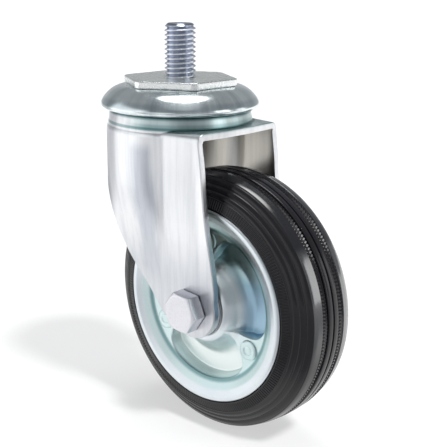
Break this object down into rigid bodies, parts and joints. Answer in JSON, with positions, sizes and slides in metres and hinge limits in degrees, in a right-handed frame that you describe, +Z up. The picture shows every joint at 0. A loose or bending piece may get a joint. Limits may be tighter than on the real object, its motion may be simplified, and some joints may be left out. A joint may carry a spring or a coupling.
{
  "type": "threaded stem swivel castor",
  "caption": "Swivel castor: zinc-plated pressed steel fork on a double ball race under a hexagonal plate and threaded stem, with a black solid rubber tyred wheel.",
  "frame": {"origin": "on the stem axis, at the top face of the hexagonal plate, which is the face that meets the furniture", "axes": "+Z up along the threaded stem, +Y along the wheel axle, +X the way the wheel trails behind the stem"},
  "size_m": [0.1067, 0.0647, 0.1519],
  "materials": {
    "stem_zinc": "bright zinc plate on a rolled thread",
    "plate_zinc": "zinc plate on sheared sheet",
    "head_zinc": "zinc plate on drawn sheet",
    "fork_zinc": "bright zinc plate on pressed sheet",
    "rim_zinc": "bright zinc plate, bluish passivated",
    "fastener_zinc": "zinc plate",
    "race_steel": "zinc plate, greased",
    "bearing_steel": "ground steel",
    "cage_nylon": "natural nylon",
    "insert_nylon": "blue nylon",
    "tyre_rubber": "solid black rubber, semi-gloss"
  },
  "bodies": {
    "head": {"threaded_stem": "stem_zinc", "hex_plate": "plate_zinc", "head_dish": "head_zinc", "lower_cup": "race_steel"},
    "upper_race": {"upper_balls": "bearing_steel"},
    "lower_race": {"lower_balls": "bearing_steel"},
    "swivel": {"fork": "fork_zinc", "axle_bolt": "fastener_zinc", "lock_nut": "fastener_zinc", "nut_insert": "insert_nylon", "axle_sleeve": "race_steel", "near_washer": "fastener_zinc", "far_washer": "fastener_zinc"},
    "roller_set": {"rollers": "bearing_steel", "roller_cage": "cage_nylon"},
    "wheel": {"hub_tube": "race_steel", "near_rim_half": "rim_zinc", "far_rim_half": "rim_zinc", "rim_rivets": "rim_zinc", "tyre": "tyre_rubber"}
  },
  "joints": [
    {"name": "swivel_turn", "type": "hinge", "parent": "head", "child": "swivel", "pos_m": [0, 0, 0], "axis": [0, 0, 1], "continuous": true},
    {"name": "upper_race_turn", "type": "hinge", "parent": "head", "child": "upper_race", "pos_m": [0, 0, 0], "axis": [0, 0, 1], "continuous": true},
    {"name": "lower_race_turn", "type": "hinge", "parent": "head", "child": "lower_race", "pos_m": [0, 0, 0], "axis": [0, 0, 1], "continuous": true},
    {"name": "wheel_spin", "type": "hinge", "parent": "swivel", "child": "wheel", "pos_m": [0.0262, 0, -0.0819], "axis": [0, 1, 0], "continuous": true},
    {"name": "roller_turn", "type": "hinge", "parent": "swivel", "child": "roller_set", "pos_m": [0.0262, 0, -0.0819], "axis": [0, 1, 0], "continuous": true}
  ],
  "couplings": [
    {"joint": "upper_race_turn", "follows": "swivel_turn", "ratio": 0.5},
    {"joint": "lower_race_turn", "follows": "swivel_turn", "ratio": 0.5},
    {"joint": "roller_turn", "follows": "wheel_spin", "ratio": 0.6}
  ]
}
